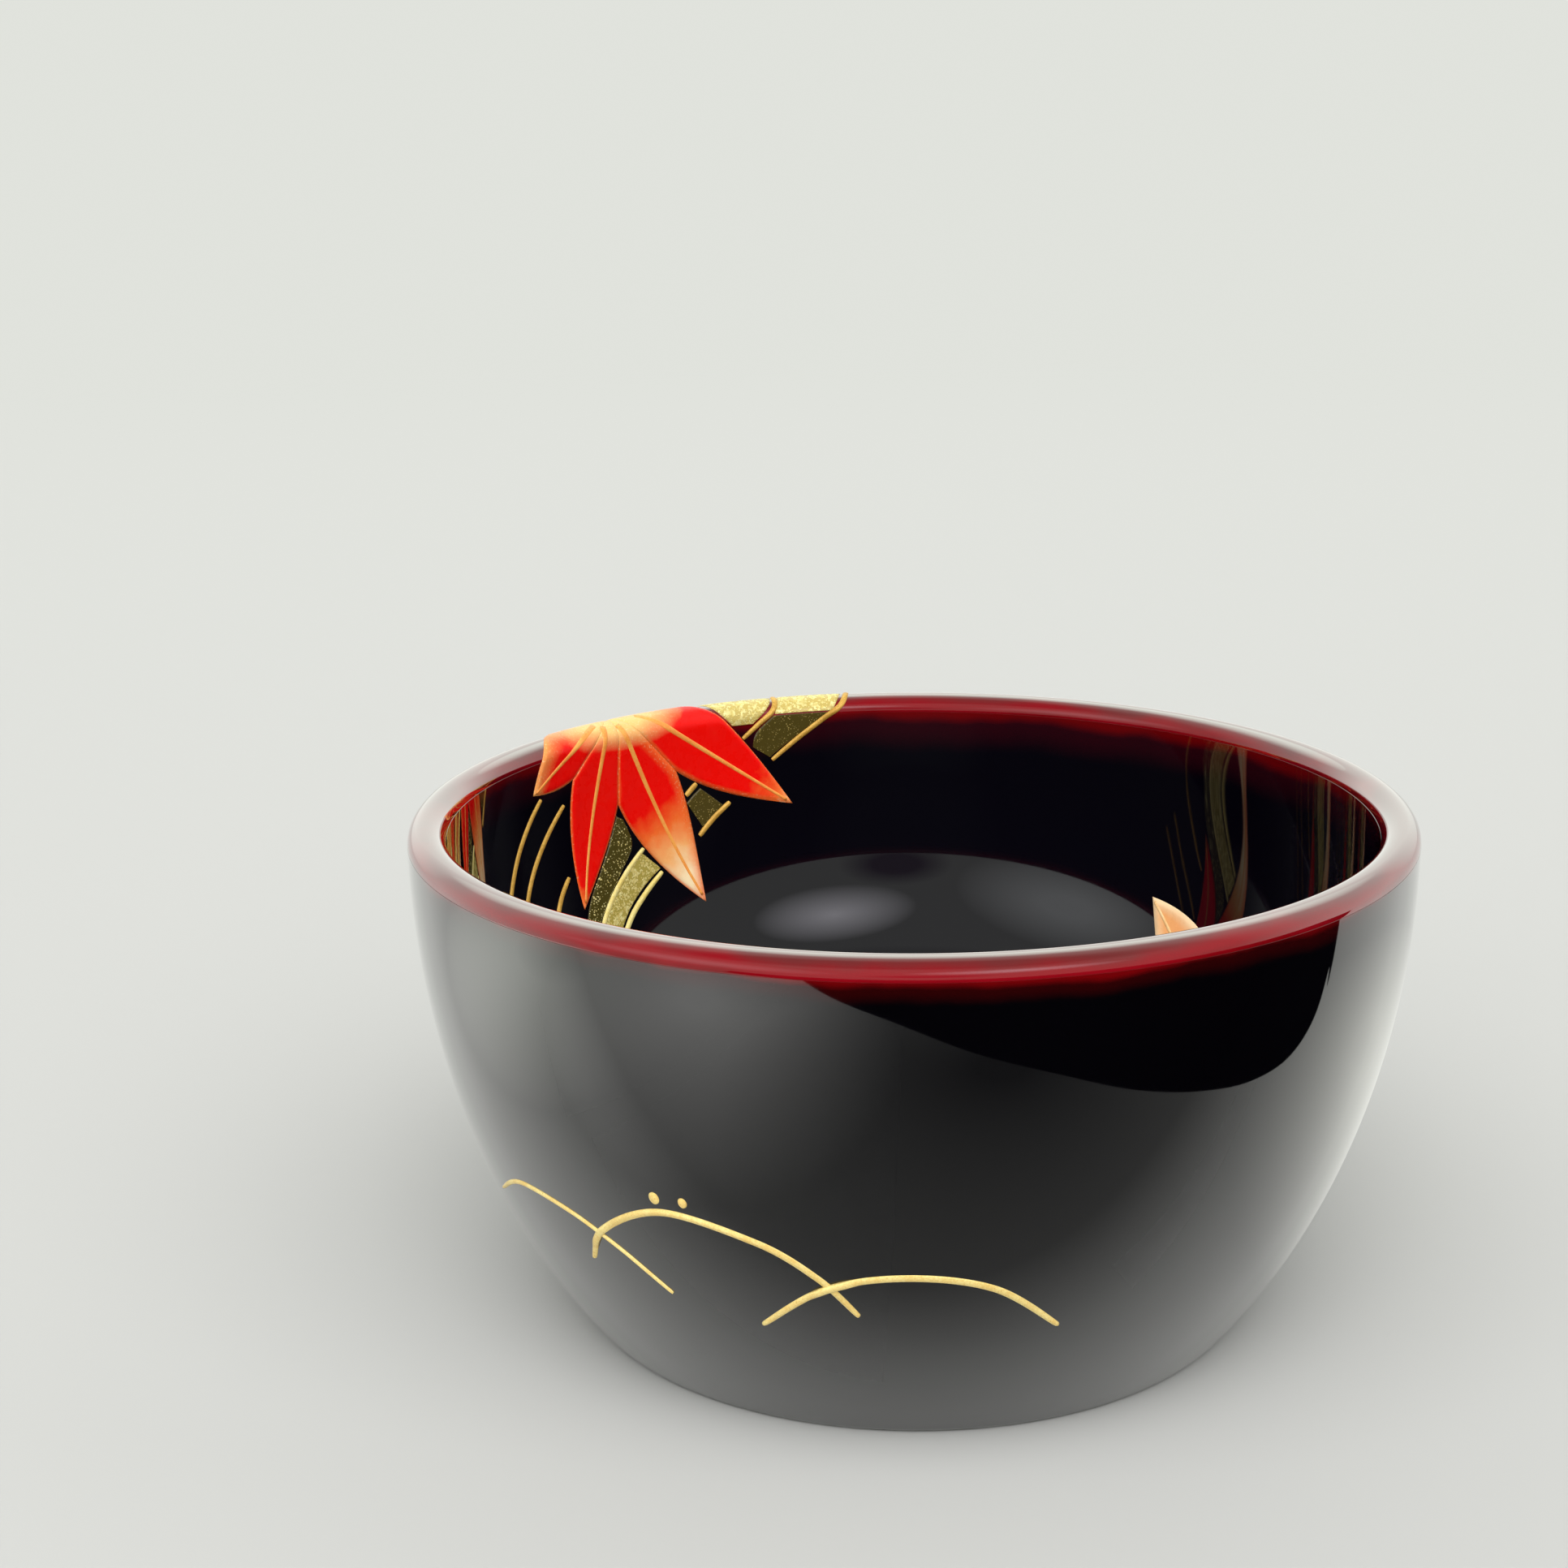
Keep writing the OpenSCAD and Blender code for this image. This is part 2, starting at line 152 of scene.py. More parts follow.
def make_profile():
    """The profile's points, and the places along it where coats start and end."""
    wall_end_z = wall_down(wall_down(wall_down(0)))
    wall_end_s = wall_angle(wall_end_z) * OUTER_DROP - LIP_S
    wall_end = outside_at(wall_end_s)
    foot_r = wall_end[0] - FOOT_ROUND * math.cos(wall_end[2])
    rise = RECESS_H - (RING_ROUND + RECESS_ROUND) * (1 - math.cos(math.pi / 4))
    recess_r = RING_IN_R - (RING_ROUND + RECESS_ROUND) * math.sin(math.pi / 4) - rise
    quarter = INNER_R * math.pi / 2
    down = -math.pi / 2
    inside = [inside_at(quarter * (1 - i / INSIDE_STEPS)) for i in range(INSIDE_STEPS + 1)]
    lip = [lip_at(-LIP_S * i / LIP_STEPS) for i in range(1, LIP_STEPS + 1)]
    span = wall_end_s + LIP_S
    outside = [outside_at(-LIP_S + span * i / OUTSIDE_STEPS) for i in range(1, OUTSIDE_STEPS)]
    foot_edge = arc(foot_r, FOOT_ROUND, FOOT_ROUND, wall_end[2], down, ARC_STEPS)
    ring = arc(RING_IN_R, RING_ROUND, RING_ROUND, down, down * 1.5, ARC_STEPS)
    fillet = [(recess_r - p[0], RECESS_H - RECESS_ROUND - p[1], p[2])
              for p in arc(0, 0, RECESS_ROUND, down * 1.5, down, ARC_STEPS)]
    before_foot = inside + lip + outside + foot_edge
    points = before_foot + ring + fillet + [(0.0, RECESS_H, down)]
    marks = {
        "dark_in": INSIDE_STEPS,
        "crest": INSIDE_STEPS + LIP_STEPS // 2,
        "dark_out": INSIDE_STEPS + LIP_STEPS,
        "foot": len(before_foot) - 1,
        "last": len(points) - 1,
    }
    return points, marks


PROFILE, MARK = make_profile()


def dark_thickness():
    """Thickness of the dark coat at each profile point: nothing on the lip, thin beside it."""
    steps = [math.dist(p[:2], q[:2]) for p, q in zip(PROFILE, PROFILE[1:])]
    run = np.concatenate([[0], np.cumsum(steps)])
    i = np.arange(len(PROFILE))
    away = np.where(i <= MARK["dark_in"], run[MARK["dark_in"]] - run, run - run[MARK["dark_out"]])
    t = DARK_EDGE_T + (DARK_T - DARK_EDGE_T) * np.clip(away / DARK_FADE, 0, 1)
    t[MARK["dark_in"] + 1:MARK["dark_out"]] = 0
    return t


DARK = dark_thickness()


# ---- Meshes ----

def finish_piece(name, mesh, material, node_names):
    """Makes a mesh into a piece that rides on the bowl and stands for CAD nodes."""
    piece = bpy.data.objects.new(name, mesh)
    bpy.context.scene.collection.objects.link(piece)
    mesh.materials.append(material)
    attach(piece, "root")
    if node_names:
        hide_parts(*node_names)


def new_mesh(name, points_mm, faces):
    mesh = bpy.data.meshes.new(name)
    mesh.from_pydata([tuple(c * MM for c in p) for p in points_mm], [], faces)
    mesh.update()
    mesh.shade_smooth()
    return mesh


def section(front, back_depth, i0, i1):
    """A coat's closed section: rows of (start, end, start normal, end normal) round it.
    front and back_depth give the depth of the coat's two faces at profile point i."""
    def at(i, depth):
        return lifted(PROFILE[i], -depth)

    def rows_along(depth, order, sign):
        rows = []
        for i, j in zip(order, order[1:]):
            n = [(sign * math.cos(PROFILE[k][2]), sign * math.sin(PROFILE[k][2])) for k in (i, j)]
            rows.append((at(i, depth(i)), at(j, depth(j)), n[0], n[1]))
        return rows

    out = rows_along(front, list(range(i0, i1 + 1)), 1)
    back = rows_along(back_depth, list(range(i1, i0 - 1, -1)), -1)
    rows = []
    for part, following in ((out, back), (back, out)):
        rows += part
        a, b = part[-1][1], following[0][0]
        if math.dist(a, b) > 1e-6 and max(a[0], b[0]) > 1e-6:
            flat = (b[1] - a[1], a[0] - b[0])
            size = math.hypot(*flat)
            flat = (-flat[0] / size, -flat[1] / size)
            rows.append((a, b, flat, flat))
    return rows


def revolve(name, rows):
    """Turns a closed section about the axis, with the true normals on every face."""
    index = {}
    points = []
    turns = [2 * math.pi * j / ROUND_STEPS for j in range(ROUND_STEPS)]
    turn = [(math.cos(t), math.sin(t)) for t in turns]

    def ring(p):
        key = (round(p[0], 5), round(p[1], 5))
        if key not in index:
            index[key] = len(points)
            around = [(1.0, 0.0)] if key[0] < 1e-4 else turn
            points.extend([(p[0] * c, p[0] * s, p[1]) for c, s in around])
        return index[key], key[0] < 1e-4

    faces = []
    normals = []
    for p, q, np_, nq in rows:
        (a, a_pole), (b, b_pole) = ring(p), ring(q)
        for j in range(ROUND_STEPS):
            k = (j + 1) % ROUND_STEPS
            corners = [(a, j, np_, a_pole), (b, j, nq, b_pole), (b, k, nq, b_pole), (a, k, np_, a_pole)]
            if a_pole:
                corners = corners[:3]
            if b_pole:
                corners = [corners[0], corners[1], corners[3]]
            faces.append([base if pole else base + step for base, step, _, pole in corners])
            for _, step, n, _ in corners:
                normals.append((n[0] * turn[step][0], n[0] * turn[step][1], n[1]))
    mesh = new_mesh(name, points, faces)
    mesh.normals_split_custom_set(normals)
    return mesh


def grid_piece(name, top, bottom, values):
    """A closed thin patch from two equal grids of points. values maps attribute names to grids."""
    rows, cols = len(top), len(top[0])
    points = [p for row in top for p in row] + [p for row in bottom for p in row]
    n = rows * cols
    faces = []
    for i in range(rows - 1):
        for j in range(cols - 1):
            a = i * cols + j
            faces.append([a, a + cols, a + cols + 1, a + 1])
            faces.append([n + a, n + a + 1, n + a + cols + 1, n + a + cols])
    edge = list(range(cols)) + [i * cols + cols - 1 for i in range(1, rows)]
    edge += [(rows - 1) * cols + j for j in range(cols - 2, -1, -1)]
    edge += [i * cols for i in range(rows - 2, 0, -1)]
    for a, b in zip(edge, edge[1:] + edge[:1]):
        faces.append([a, b, n + b, n + a])
    mesh = new_mesh(name, points, faces)
    for key, grid in values.items():
        flat = [v for row in grid for v in row]
        mesh.attributes.new(key, "FLOAT", "POINT").data.foreach_set("value", flat + flat)
    clean(mesh)
    return mesh


def clean(mesh):
    """Welds points that coincide, drops faces with no area, and turns all normals outwards."""
    bm = bmesh.new()
    bm.from_mesh(mesh)
    bmesh.ops.remove_doubles(bm, verts=bm.verts, dist=2e-7)
    bmesh.ops.dissolve_degenerate(bm, dist=1e-7, edges=bm.edges)
    bmesh.ops.recalc_face_normals(bm, faces=bm.faces)
    bm.to_mesh(mesh)
    bm.free()


# ---- Drawing on the skin ----

def spline(p, n):
    """A smooth curve through (t, s) points, n steps to a span."""
    p = [np.array(q, float) for q in p]
    m = len(p) - 1
    out = []
    for i in range(m):
        a, b, c, d = p[max(i - 1, 0)], p[i], p[i + 1], p[min(i + 2, m)]
        for j in range(n + 1 if i == m - 1 else n):
            u = j / n
            out.append(0.5 * (2 * b + (c - a) * u + (2 * a - 5 * b + 4 * c - d) * u * u
                              + (3 * b - a - 3 * c + d) * u ** 3))
    return out


def step_mm(p, q):
    return np.array([math.radians(q[0] - p[0]) * skin_at(p[1])[0], q[1] - p[1]])


def beside(p, i, w):
    """The point w millimetres beside point i of path p."""
    d = step_mm(p[max(i - 1, 0)], p[min(i + 1, len(p) - 1)])
    d /= np.linalg.norm(d)
    return p[i][0] - math.degrees(d[1] * w / skin_at(p[i][1])[0]), p[i][1] + d[0] * w


def brush(u, ends):
    """A brush line is full in the middle and thin at its ends."""
    return ends + (1 - ends) * math.sin(math.pi * min(max(u, 0), 1)) ** 0.35


HOP_W = 0.9  # how far from a crossing a line starts to rise, in millimetres


def stroke(name, path, width, height, base=0.0, hop_at=None, hop=0.0):
    """A raised rounded line. width(u) and height(u) are in millimetres. It rises over a crossing."""
    across = [math.cos(math.pi * (1 - k / 8)) for k in range(9)]
    n = len(path)
    top = []
    bottom = []
    for i in range(n):
        u = i / (n - 1)
        rise = base
        if hop_at is not None:
            far = np.linalg.norm(step_mm(hop_at, path[i]))
            rise += hop * min(max(2 - far / HOP_W, 0), 1)
        places = [beside(path, i, x * width(u) / 2) for x in across]
        lifts = [height(u) * math.sqrt(max(1 - x * x, 0)) ** 1.3 for x in across]
        top.append([paint_at(*q, rise + h) for q, h in zip(places, lifts)])
        bottom.append([paint_at(*q, base - SINK) for q in places])
    along = [[i / (n - 1)] * len(across) for i in range(n)]
    return grid_piece(name, top, bottom, {"along": along})


LOBE_IN = 22  # steps from the leaf's centre to the notches
LOBE_OUT = 34  # steps from the notches to the tip
LOBE_ACROSS = 28
CREASE = 0.55  # height left in the crease between two lobes, of the full height
EDGE_LOW = 0.12  # height left at a lobe's free edge, of the full height
EDGE_W = 0.45  # how far in from its edge a lobe reaches full height, in millimetres
MIDDLE_SHAPE = (0.55, 1.15)  # the leaf's gold middle is wide along the lip and short down the wall


def leaf_spot(home, q):
    """Leaves are drawn flat, in millimetres about the leaf's centre, x round the bowl and y up inside."""
    s = home[1] - q[1]
    return home[0] - math.degrees(q[0] / skin_at(s)[0]), s


def lobe_edge(notch, tip, bulge):
    """One edge of a lobe: straight out to the notch, then bulging out to the tip."""
    notch = np.array(notch, float)
    tip = np.array(tip, float)
    d = tip - notch
    mid = notch + 0.4 * d + bulge * np.array([-d[1], d[0]])
    straight = [notch * i / LOBE_IN for i in range(LOBE_IN)]
    bent = [(1 - u) ** 2 * notch + 2 * u * (1 - u) * mid + u * u * tip
            for u in np.linspace(0, 1, LOBE_OUT + 1)]
    return straight + bent


def lobe(name, home, notch_a, tip, notch_b, bulge_a, bulge_b, rim_a, rim_b):
    """A raised leaf lobe, full in the middle, creased where it meets its neighbours.
    rim_a and rim_b are the widths of the pale shading along its two edges."""
    left = lobe_edge(notch_a, tip, -bulge_a)
    right = lobe_edge(notch_b, tip, bulge_b)
    top, bottom, along, rim, home_mm = [], [], [], [], []
    rows = len(left)
    for i in range(rows):
        a, b = left[i], right[i]
        wide = np.linalg.norm(b - a)
        us = [j / LOBE_ACROSS for j in range(LOBE_ACROSS + 1)]
        spots = [a + (b - a) * u for u in us]
        to_tip = np.linalg.norm((a + b) / 2 - np.array(tip))
        low = CREASE if i < LOBE_IN else EDGE_LOW
        ds = [min(wide * min(u, 1 - u), to_tip) for u in us]
        lifts = [LEAF_T * (low + (1 - low) * math.sin(math.pi / 2 * min(d / EDGE_W, 1))) for d in ds]
        top.append([paint_at(*leaf_spot(home, q), h) for q, h in zip(spots, lifts)])
        bottom.append([paint_at(*leaf_spot(home, q), -SINK) for q in spots])
        along.append([i / (rows - 1)] * len(us))
        rim.append([max(1 - wide * u / rim_a, 1 - wide * (1 - u) / rim_b, 0) for u in us])
        home_mm.append([math.hypot(MIDDLE_SHAPE[0] * q[0], MIDDLE_SHAPE[1] * q[1]) for q in spots])
    return grid_piece(name, top, bottom, {"along": along, "rim": rim, "home_mm": home_mm})


# ---- Materials ----

def new_material(name):
    m = bpy.data.materials.new(name)
    m.use_nodes = True
    nodes = m.node_tree.nodes
    return m, nodes, m.node_tree.links, nodes["Principled BSDF"]


def noise(nodes, links, scale, detail=3.0, rough=0.5):
    """Noise in object space; scale is in features to the metre."""
    where = nodes.new("ShaderNodeTexCoord")
    tex = nodes.new("ShaderNodeTexNoise")
    tex.inputs["Scale"].default_value = scale
    tex.inputs["Detail"].default_value = detail
    tex.inputs["Roughness"].default_value = rough
    links.new(where.outputs["Object"], tex.inputs["Vector"])
    return tex.outputs["Fac"]


def ramp(nodes, links, source, stops, mode="LINEAR"):
    """A colour ramp from (position, colour) stops."""
    node = nodes.new("ShaderNodeValToRGB")
    node.color_ramp.interpolation = mode
    elements = node.color_ramp.elements
    while len(elements) < len(stops):
        elements.new(0.5)
    for element, (place, colour) in zip(elements, stops):
        element.position = place
        element.color = (*colour, 1)
    links.new(source, node.inputs["Fac"])
    return node.outputs["Color"]


def grey(v):
    return (v, v, v)


def to_range(nodes, links, source, low, high, out_low=0.0, out_high=1.0):
    node = nodes.new("ShaderNodeMapRange")
    node.inputs["From Min"].default_value = low
    node.inputs["From Max"].default_value = high
    node.inputs["To Min"].default_value = out_low
    node.inputs["To Max"].default_value = out_high
    links.new(source, node.inputs["Value"])
    return node.outputs["Result"]


def maths(nodes, links, operation, a, b):
    node = nodes.new("ShaderNodeMath")
    node.operation = operation
    for socket, value in zip(node.inputs, (a, b)):
        if isinstance(value, (int, float)):
            socket.default_value = value
        else:
            links.new(value, socket)
    return node.outputs["Value"]


def mix(nodes, links, factor, a, b):
    node = nodes.new("ShaderNodeMix")
    node.data_type = "RGBA"
    sockets = [s for s in node.inputs if s.type == "RGBA"]
    links.new(factor, node.inputs["Factor"])
    for socket, value in zip(sockets, (a, b)):
        if isinstance(value, tuple):
            socket.default_value = (*value, 1)
        else:
            links.new(value, socket)
    return [s for s in node.outputs if s.type == "RGBA"][0]


def attribute(nodes, key):
    node = nodes.new("ShaderNodeAttribute")
    node.attribute_name = key
    return node.outputs["Fac"]


def bump(nodes, links, shader, height, strength, distance):
    node = nodes.new("ShaderNodeBump")
    node.inputs["Strength"].default_value = strength
    node.inputs["Distance"].default_value = distance
    links.new(height, node.inputs["Height"])
    links.new(node.outputs["Normal"], shader.inputs["Normal"])


def above_table(nodes, links):
    """Height above the table, in metres, from the piece's own coordinates."""
    where = nodes.new("ShaderNodeTexCoord")
    split = nodes.new("ShaderNodeSeparateXYZ")
    links.new(where.outputs["Object"], split.inputs["Vector"])
    return split.outputs["Z"]


# Colours, as linear red, green and blue
BLACK = (0.0008, 0.0006, 0.0012)
NAVY = (0.0012, 0.0008, 0.003)
WINE = (0.012, 0.0015, 0.005)
THIN_OUTSIDE = (0.02, 0.0006, 0.001)
THIN_INSIDE = (0.02, 0.001, 0.004)
RED_DEEP = (0.14, 0.0008, 0.002)
RED_LIP = (0.24, 0.003, 0.008)
CREST = (0.13, 0.02, 0.02)
LEAF_GOLD = (0.95, 0.58, 0.2)
LEAF_RED = (0.95, 0.003, 0.001)
ORANGE = (0.97, 0.17, 0.03)
AMBER = (0.95, 0.4, 0.1)
PEACH = (0.98, 0.46, 0.16)
CREAM = (0.99, 0.78, 0.48)
PALE_DUST = (0.95, 0.72, 0.4)
LOW_LEAF_MIDDLE = (0.97, 0.42, 0.17)


def lacquer(name, stops, low, high, rough=0.03, slant_from=0.3, slant_to=0.75):
    """Polished lacquer whose colour changes with height: red shows where the dark coat is thin.
    Its gloss grows from slant_from to slant_to, as the face turns away from the eye."""
    m, nodes, links, shader = new_material(name)
    z = above_table(nodes, links)
    cloud = to_range(nodes, links, noise(nodes, links, 160, 2), 0.3, 0.7, -0.0003, 0.0003)
    z = maths(nodes, links, "ADD", z, cloud)
    place = to_range(nodes, links, z, low * MM, high * MM)
    colour = ramp(nodes, links, place, stops, "EASE")
    links.new(colour, shader.inputs["Base Color"])
    polish = to_range(nodes, links, noise(nodes, links, 900, 4), 0.3, 0.7, rough * 0.7, rough * 1.3)
    links.new(polish, shader.inputs["Roughness"])
    shader.inputs["IOR"].default_value = 1.46
    shader.inputs["Coat IOR"].default_value = 3.0
    shader.inputs["Coat Roughness"].default_value = 0.02
    slant = nodes.new("ShaderNodeLayerWeight")
    slant.inputs["Blend"].default_value = 0.5
    gloss = to_range(nodes, links, slant.outputs["Facing"], slant_from, slant_to)
    links.new(gloss, shader.inputs["Coat Weight"])
    bump(nodes, links, shader, noise(nodes, links, 70, 1), 0.03, 0.0002)
    return m


GOLD_ROUGH = 0.34


def gold(name, light, dark, metal):
    """Gold dust on lacquer: fine grains of two tones."""
    m, nodes, links, shader = new_material(name)
    grain = noise(nodes, links, 9000, 2)
    worn = noise(nodes, links, 900, 3)
    both = maths(nodes, links, "ADD", grain, worn)
    tone = to_range(nodes, links, both, 0.8, 1.2)
    links.new(mix(nodes, links, tone, dark, light), shader.inputs["Base Color"])
    shader.inputs["Metallic"].default_value = metal
    matt = to_range(nodes, links, grain, 0.3, 0.7, GOLD_ROUGH * 0.8, GOLD_ROUGH * 1.3)
    links.new(matt, shader.inputs["Roughness"])
    bump(nodes, links, shader, grain, 0.35, 0.00003)
    return m


def leaf_paint(name, stops, edge, centre_mm):
    """Pigment lacquer that shades along the lobe by stops, to edge at its rim and gold in the middle."""
    m, nodes, links, shader = new_material(name)
    along = attribute(nodes, "along")
    rim = attribute(nodes, "rim")
    home_mm = attribute(nodes, "home_mm")
    cloud = to_range(nodes, links, noise(nodes, links, 700, 4), 0.25, 0.75, -0.04, 0.04)
    colour = ramp(nodes, links, maths(nodes, links, "ADD", along, cloud), stops)
    stain = to_range(nodes, links, noise(nodes, links, 450, 3), 0.25, 0.75, -0.14, 0.14)
    near_edge = to_range(nodes, links, maths(nodes, links, "SUBTRACT", rim, stain), 0.1, 0.9, 0.0, 0.8)
    colour = mix(nodes, links, near_edge, colour, edge)
    reach = maths(nodes, links, "ADD", home_mm, maths(nodes, links, "MULTIPLY", stain, 2.0))
    middle = to_range(nodes, links, reach, centre_mm[0], centre_mm[1], 1.0, 0.0)
    colour = mix(nodes, links, middle, colour, LEAF_GOLD)
    dust = to_range(nodes, links, noise(nodes, links, 7000, 1), 0.6, 0.7)
    dust = maths(nodes, links, "MULTIPLY", dust, maths(nodes, links, "MAXIMUM", middle, near_edge))
    dust = maths(nodes, links, "MULTIPLY", dust, 0.6)
    colour = mix(nodes, links, dust, colour, PALE_DUST)
    links.new(colour, shader.inputs["Base Color"])
    polish = to_range(nodes, links, noise(nodes, links, 1500, 2), 0.3, 0.7, 0.22, 0.36)
    links.new(polish, shader.inputs["Roughness"])
    shader.inputs["IOR"].default_value = 1.34
    bump(nodes, links, shader, noise(nodes, links, 2500, 3), 0.12, 0.00004)
    return m


def powder_paint(name, density, light, dark, ground):
    """Gold powder sprinkled on dark lacquer: grains of several sizes, more of them where denser."""
    m, nodes, links, shader = new_material(name)
    where = nodes.new("ShaderNodeTexCoord")
    grains = nodes.new("ShaderNodeTexVoronoi")
    grains.inputs["Scale"].default_value = 6000
    links.new(where.outputs["Object"], grains.inputs["Vector"])
    patchy = to_range(nodes, links, noise(nodes, links, 2200, 3), 0.3, 0.7, 0.15, 1.0)
    limit = maths(nodes, links, "MULTIPLY", patchy, density)
    inside = maths(nodes, links, "SUBTRACT", limit, grains.outputs["Distance"])
    shown = to_range(nodes, links, inside, -0.05, 0.12)
    tone = to_range(nodes, links, noise(nodes, links, 4000, 2), 0.3, 0.7)
    gold_tone = mix(nodes, links, tone, dark, light)
    links.new(mix(nodes, links, shown, ground, gold_tone), shader.inputs["Base Color"])
    links.new(maths(nodes, links, "MULTIPLY", shown, 0.35), shader.inputs["Metallic"])
    links.new(to_range(nodes, links, shown, 0, 1, 0.12, 0.42), shader.inputs["Roughness"])
    bump(nodes, links, shader, shown, 0.5, 0.00004)
    return m


def wood_material():
    m, nodes, links, shader = new_material("turned_wood")
    where = nodes.new("ShaderNodeTexCoord")
    rings = nodes.new("ShaderNodeTexWave")
    rings.wave_type = "RINGS"
    rings.rings_direction = "X"
    rings.inputs["Scale"].default_value = 120
    rings.inputs["Distortion"].default_value = 3
    rings.inputs["Detail"].default_value = 3
    links.new(where.outputs["Object"], rings.inputs["Vector"])
    colour = ramp(nodes, links, rings.outputs["Fac"], [(0, (0.34, 0.2, 0.1)), (1, (0.52, 0.34, 0.19))])
    links.new(colour, shader.inputs["Base Color"])
    shader.inputs["Roughness"].default_value = 0.62
    bump(nodes, links, shader, rings.outputs["Fac"], 0.2, 0.0001)
    return m


def ground_material():
    m, nodes, links, shader = new_material("clay_ground")
    speck = noise(nodes, links, 2600, 4)
    colour = ramp(nodes, links, speck, [(0.3, grey(0.012)), (0.7, grey(0.035))])
    links.new(colour, shader.inputs["Base Color"])
    shader.inputs["Roughness"].default_value = 0.8
    bump(nodes, links, shader, speck, 0.3, 0.00006)
    return m


# ---- Painted places, repeated from the CAD source ----

BIG_HOME = (135, -2.4)
BIG_TIPS = [(-9.5, -4.6), (-5.2, -14), (6.1, -15.7), (14.5, -9.2), (7.6, 5.2), (2.6, 6.2), (-6, 2.6)]
BIG_NOTCHES = [(-4.9, -4.4), (-0.5, -7.2), (5, -5.6), (5, 1.6), (2.8, 2.6), (-1.6, 2.6), (-5.3, 0.6)]
BIG_BULGES = [(0.16, 0.15), (0.1, 0.12), (0.11, 0.1), (0.12, 0.1), (0.1, 0.1), (0.1, 0.1), (0.1, 0.1)]
BIG_ROOTS = [(-1.9, -0.8), (-1.2, -1.1), (0.1, -1.2), (2.2, -0.6), (1.2, 0.6), (0.3, 0.9), (-1, 0.4)]
BIG_STEM = [(-1.9, 3), (-2.5, 4.6), (-3.4, 6.2), (-4.8, 7.8)]

LOW_HOME = (30.2, 21.4)
LOW_TIPS = [(-0.9, 7.2), (-10.5, 9), (-13.4, -1.2), (-8.8, -8.8), (0, -8.6)]
LOW_NOTCHES = [(1.8, 2.4), (-2.3, 4.6), (-5.6, 1.9), (-4.8, -2.8), (-2.2, -4.4), (1.8, -3)]
LOW_BULGES = [(0.12, 0.12), (0.24, 0.12), (0.14, 0.14), (0.14, 0.14), (0.12, 0.12)]
LOW_STEM = [(1.2, -0.1), (2.8, 0.1), (4.6, -0.5)]

HILLS = {
    "left": ([(-151.4, -25), (-143, -22.7), (-133.5, -22.8), (-126, -24.5), (-119.6, -27.3)],
             LINE_W * 0.7, None),
    "middle": ([(-131.6, -26.4), (-127.5, -23.2), (-118, -20.4), (-107, -21.4), (-100.3, -23.8),
                (-96, -26.8)], LINE_W, (-128.9, -23.8)),
    "right": ([(-107.9, -28.5), (-99.4, -24.6), (-90, -23.4), (-80.5, -24.5), (-72.3, -28.3)],
              LINE_W, (-98.9, -24.5)),
}
DOTS = {"left": ((-118.6, -19.4), 0.36), "right": ((-115, -19.3), 0.3)}

STREAMS = [
    [(151.2, 2.7), (154.4, 4.2), (157.8, 6.1), (161, 8.4), (164, 11)],
    [(146.4, 3.7), (150.6, 5.6), (154.6, 7.7), (157.4, 9.6), (160, 12)],
    [(147, 9), (149.2, 10.1), (151, 11.3), (153.4, 13)],
    [(132.2, 8.5), (136, 10), (139.7, 11.7), (142.8, 13.5), (145.8, 15.8)],
    [(129.5, 10.5), (132.9, 11.7), (136.4, 13.1), (139.2, 14.7), (142, 17)],
    [(79, -14.6), (88, -13.6), (97, -11), (104, -8), (108, -5), (109.2, -2.6), (109.8, -0.8), (112.4, 0.4),
     (114.8, 1.4)],
    [(122.4, 4.4), (123.3, 4.8), (124.2, 5.2)],
    [(83, -11.2), (90, -9.6), (96, -7.2), (98.6, -4.6), (98.8, -2.6), (99.8, -0.8), (102.6, 0.3),
     (106.6, 1.8), (110.4, 3.3)],
    [(117.2, 6.2), (119.9, 7.2), (122.5, 8.4)],
]
POWDERS = {
    "low": ([(132.4, 8.9), (136.2, 10.4), (139.9, 12.1), (142.8, 13.85)],
            [(129.9, 10.1), (133.4, 11.2), (136.9, 12.6), (139.8, 14.2)]),
    "middle": ([(136.3, 5.7), (138, 7.6), (140.4, 9.4), (143.4, 11.2), (145.1, 12.6)],
               [(135.3, 6), (134.4, 8), (137.1, 9.8), (141.1, 11.9), (143.5, 13.2)]),
    "gap": ([(121.6, 4.9), (122.9, 5.4), (124, 5.9)], [(118.4, 6.3), (120.2, 7), (121.9, 7.7)]),
    "high": ([(109.5, -0.2), (111.7, 0.75), (112.7, 1.45), (113.1, 2.2)],
             [(102.4, -0.2), (105.2, 0.85), (108.4, 2), (110.9, 3)]),
    "lip": ([(101.8, -0.3), (100.8, -1.4), (100.1, -2.8), (99.8, -4.8)],
            [(109.2, -0.3), (108.6, -1.4), (108, -2.8), (106.9, -4.8)]),
    "rim": ([(113.4, 0.3), (111.1, -1), (110.5, -2.4), (110, -4.4)],
            [(116.2, 0.3), (118, -1), (119.6, -2.4), (120.6, -4.4)]),
}


# ---- The coats ----

